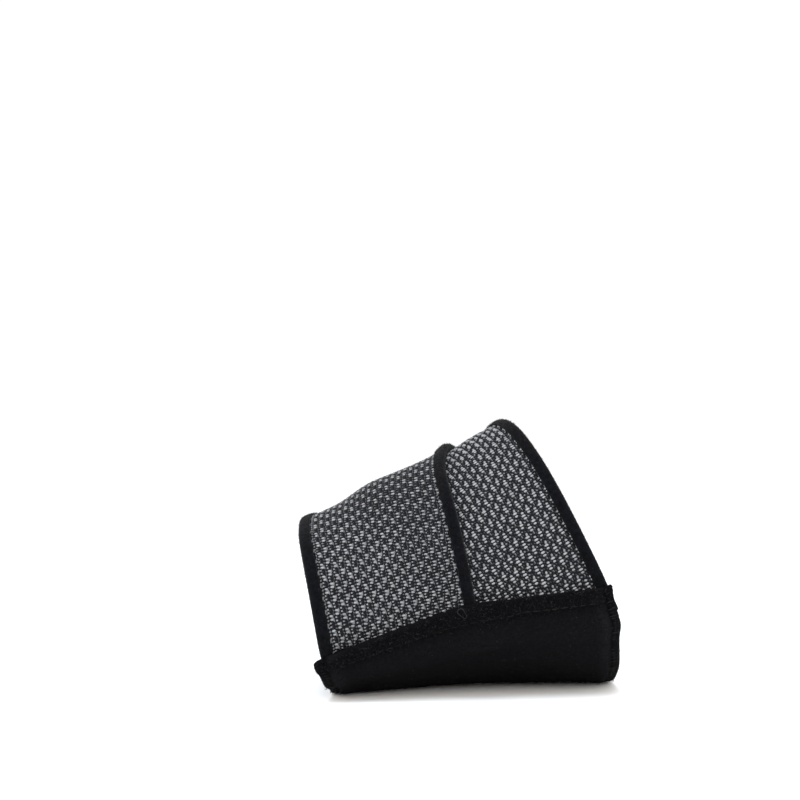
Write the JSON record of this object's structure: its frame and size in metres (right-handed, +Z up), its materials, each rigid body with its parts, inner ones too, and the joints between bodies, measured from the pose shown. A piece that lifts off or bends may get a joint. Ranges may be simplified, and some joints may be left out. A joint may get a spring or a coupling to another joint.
{
  "type": "arch support",
  "caption": "Slip-on elastic arch support: padded sole panel with crossed knit straps over the instep and bound strap edges.",
  "frame": {"origin": "on the floor, in the middle of the footprint", "axes": "+X towards the heel, +Y towards the outer side of a right foot, +Z up"},
  "size_m": [0.0834, 0.088, 0.0719],
  "materials": {
    "brushed_black": "brushed pile, matte",
    "silver_knit": "silver stitches on a black knit ground",
    "binding_black": "soft folded tape, matte"
  },
  "bodies": {
    "root": {"sole_panel": "brushed_black", "front_strap": "silver_knit", "rear_strap": "silver_knit", "front_strap_toe_binding": "binding_black", "front_strap_heel_binding": "binding_black", "rear_strap_heel_binding": "binding_black"}
  },
  "joints": []
}
